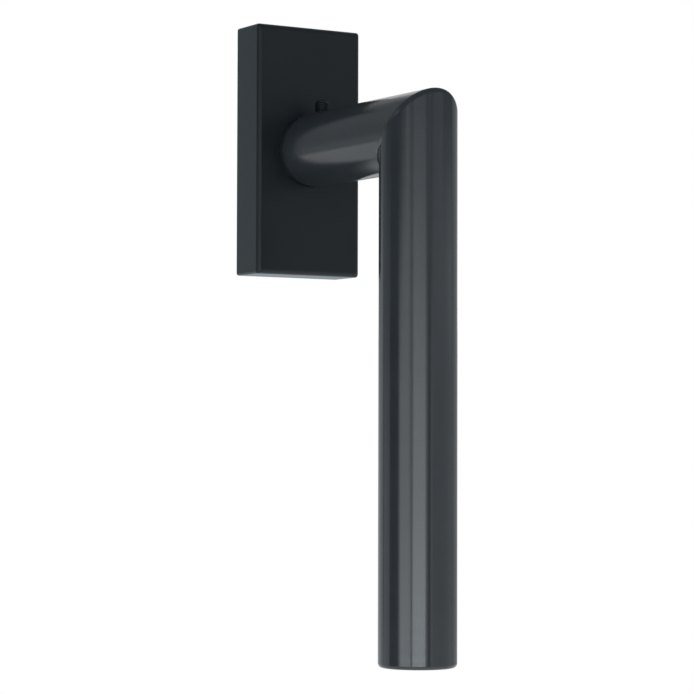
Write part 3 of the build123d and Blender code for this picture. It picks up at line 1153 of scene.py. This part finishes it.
@dataclass
class Studio:
    """The floor, the light and the camera.

    Attributes:
        floor_height: Height of the floor.
        floor_radius: Radius of the floor.
        floor_plain: Share of that radius over which it is plain paper, before it fades to white.
        floor_lift: How much brighter the floor shows than its light makes it.
        upper_light: Light of the surroundings from above the horizon.
        lower_light: Light from below it.
        camera_place: Where the camera stands.
        yaw: How far it looks to the right, in degrees.
        pitch: How far it looks up, in degrees.
        roll: How far it leans, in degrees.
        focal_pixels: Its focal length in pixels of the picture.
        level_cards: The grey ceiling, which leaves the white behind the object open, and the bright
            patch on the floor in front.
        panels: The softboxes and the upright cards.
    """

    floor_height: float = -0.30
    floor_radius: float = 1.2
    floor_plain: float = 0.3
    floor_lift: float = 0.42
    upper_light: float = 0.5
    lower_light: float = 1.0
    camera_place: tuple[float, float, float] = (-0.35627, -0.61457, -0.08006)
    yaw: float = 31.431
    pitch: float = 2.204
    roll: float = 0.153
    focal_pixels: float = 2588.66
    # Each row: name, middle, radius, brightness in the gloss.
    level_cards: tuple[tuple[str, tuple[float, float, float], float, float], ...] = (
        ("ceiling", (0.51, -2.57, 0.30), 3.0, 0.17),
        ("floor_glow", (-0.02, -0.26, -0.295), 0.25, 1.3),
    )
    # Each row: name, bearing, spread, distance, low, high, brightness, and what else it has.
    panels: tuple[Softbox | Card, ...] = (
        Softbox("front_softbox", -28.0, 36.0, 1.1, -0.28, 0.20, 3.35, fall=1.15),
        Softbox("side_softbox", -71.5, 29.0, 1.1, -0.28, 0.20, 2.2),
        Card("front_foot", -29.0, 38.0, 1.05, -0.29, -0.15, 8.4, top_share=0.31),
        Card("side_foot", -68.0, 30.0, 1.05, -0.29, -0.13, 5.5, top_share=0.28),
        Card("side_flag", -106.5, 31.0, 0.9, -0.29, 0.29, 0.12, top_share=0.0),
        Card("upper_side_flag", -85.3, 12.6, 0.9, 0.03, 0.075, 0.03),
        Card("top_side_flag", -80.0, 23.0, 0.9, 0.075, 0.29, 0.0),
        Card("rear_flag", -132.0, 16.0, 0.9, 0.078, 0.29, 0.05),
        Card("front_flag", 0.5, 8.0, 0.9, -0.29, 0.02, 0.12),
        Card("upper_front_flag", 0.5, 8.0, 0.9, 0.02, 0.29, 0.5),
        Card("rear_card", -160.0, 80.0, 1.5, -0.29, -0.08, 0.78, top_share=0.88),
        Card("middle_rear_card", -160.0, 80.0, 1.5, -0.08, 0.06, 0.69, top_share=0.48),
        Card("upper_rear_card", -160.0, 80.0, 1.5, 0.06, 1.05, 0.33),
        Card("rim_card", -165.0, 16.0, 1.4, -0.08, 0.11, 0.74),
        Card("neck_card", -150.5, 7.0, 1.4, -0.25, 0.12, 0.33),
        Card("low_rear_card", 144.0, 32.0, 1.5, -0.29, 0.02, 0.5),
        Card("right_card", 45.0, 70.0, 1.3, -0.29, 0.29, 0.68, top_share=0.7),
        Card("upper_right_card", 45.0, 70.0, 1.25, 0.02, 0.118, 0.98),
        Card("top_right_card", 60.0, 100.0, 1.25, 0.135, 0.40, 0.1),
        Card("right_rear_card", 104.0, 48.0, 1.3, -0.29, 0.29, 0.5),
    )

    def build(self) -> None:
        """Sets up the studio round the grip."""
        low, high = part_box("grip_tube")
        for panel in self.panels:
            panel.place((low + high) / 2)
        self.lay_level_cards()
        self.lay_floor()
        self.light_surroundings()
        self.set_camera()
        bpy.context.scene.view_settings.view_transform = "Standard"

    def disc(self, name: str, middle: tuple[float, float, float], radius: float) -> Object:
        """Makes a level round sheet.

        Args:
            name: Its name.
            middle: Its middle.
            radius: Its radius.

        Returns:
            The sheet.
        """
        mesh = bmesh.new()
        bmesh.ops.create_circle(
            mesh, cap_ends=True, segments=ROUND_STEPS, radius=radius, matrix=Matrix.Translation(middle)
        )
        return as_object(mesh, name)

    def lay_level_cards(self) -> None:
        """Hangs the grey ceiling and lays the bright patch in front."""
        for name, middle, radius, grey in self.level_cards:
            level = (middle[2], grey)
            show_in_gloss(self.disc(name, middle, radius), level, level)

    def lay_floor(self) -> None:
        """Lays a pale round floor that fades to white towards its rim."""
        floor = self.disc("floor", (0.0, 0.0, self.floor_height), self.floor_radius)
        paper = bpy.data.materials.new("white_paper_floor")
        tree = empty_tree(paper)
        place = add_node(tree, "TexCoord").outputs["Object"]
        across = add_node(tree, "VectorMath", {0: place, 1: (1.0, 1.0, 0.0)}, operation="MULTIPLY")
        distance = add_node(tree, "VectorMath", {0: across.outputs["Vector"]}, operation="LENGTH")
        border = (self.floor_plain * self.floor_radius, self.floor_radius)
        fade = remap(tree, distance.outputs["Value"], border, interpolation="SMOOTHSTEP")
        diffuse = add_node(tree, "BsdfDiffuse", {"Color": linear(PAPER_WHITE)})
        lift = add_node(tree, "Math", {0: self.seen(tree), 1: self.floor_lift}, operation="MULTIPLY")
        glow = add_node(tree, "Emission", {"Color": linear(WHITE), "Strength": lift.outputs["Value"]})
        paper_look = add_node(
            tree, "AddShader", {0: diffuse.outputs["BSDF"], 1: glow.outputs["Emission"]}
        )
        white = add_node(tree, "Emission", {"Color": linear(WHITE), "Strength": 1.0})
        whole = add_node(
            tree, "MixShader", {0: fade, 1: paper_look.outputs["Shader"], 2: white.outputs["Emission"]}
        )
        add_node(tree, "OutputMaterial", {"Surface": whole.outputs["Shader"]})
        floor.data.materials.append(paper)

    def seen(self, tree: NodeTree) -> NodeSocket:
        """Adds the test for what the eye sees, straight or in a mirror or through glass.

        Args:
            tree: The nodes that get it.

        Returns:
            1 for such a ray and 0 for one that only lights.
        """
        rays = add_node(tree, "LightPath").outputs
        found = rays["Is Camera Ray"]
        for other in ("Is Glossy Ray", "Is Transmission Ray"):
            either = add_node(tree, "Math", {0: found, 1: rays[other]}, operation="MAXIMUM")
            found = either.outputs["Value"]
        return found

    def light_surroundings(self) -> None:
        """Makes the surroundings white to the eye and softly lit, more from below, to the object."""
        world = bpy.data.worlds.new("white_studio")
        tree = empty_tree(world)
        heading = add_node(
            tree, "SeparateXYZ", {"Vector": add_node(tree, "TexCoord").outputs["Generated"]}
        )
        lights = (self.upper_light, self.lower_light)
        level = remap(tree, heading.outputs["Z"], (1.0, -1.0), lights, "SMOOTHSTEP")
        room = add_node(tree, "Background", {"Color": linear(ROOM_WHITE), "Strength": level})
        white = add_node(tree, "Background", {"Color": linear(WHITE), "Strength": 1.0})
        whole = add_node(
            tree,
            "MixShader",
            {0: self.seen(tree), 1: room.outputs["Background"], 2: white.outputs["Background"]},
        )
        add_node(tree, "OutputWorld", {"Surface": whole.outputs["Shader"]})
        bpy.context.scene.world = world

    def set_camera(self) -> None:
        """Sets the camera at the picture's viewing angle."""
        lens = bpy.data.cameras.new("picture_camera")
        lens.sensor_width = SENSOR_WIDTH
        lens.lens = self.focal_pixels / PICTURE_SIDE * lens.sensor_width
        camera = bpy.data.objects.new("picture_camera", lens)
        camera.location = self.camera_place
        camera.rotation_mode = "QUATERNION"
        turns = ((-self.yaw, "Z"), (90 + self.pitch, "X"), (self.roll, "Z"))
        yaw, pitch, roll = (Matrix.Rotation(math.radians(turn), 3, axis) for turn, axis in turns)
        camera.rotation_quaternion = (yaw @ pitch @ roll).to_quaternion()
        bpy.context.scene.collection.objects.link(camera)
        bpy.context.scene.camera = camera


def main() -> None:
    """Builds the studio and the pieces in order."""
    logging.basicConfig(level=logging.INFO, format="%(message)s")
    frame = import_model()
    Studio().build()
    for sub_assembly in (Rosette, FixingScrews, Lever, GrubScrew):
        sub_assembly(frame["nodes"]).build()


if __name__ == "__main__":
    main()
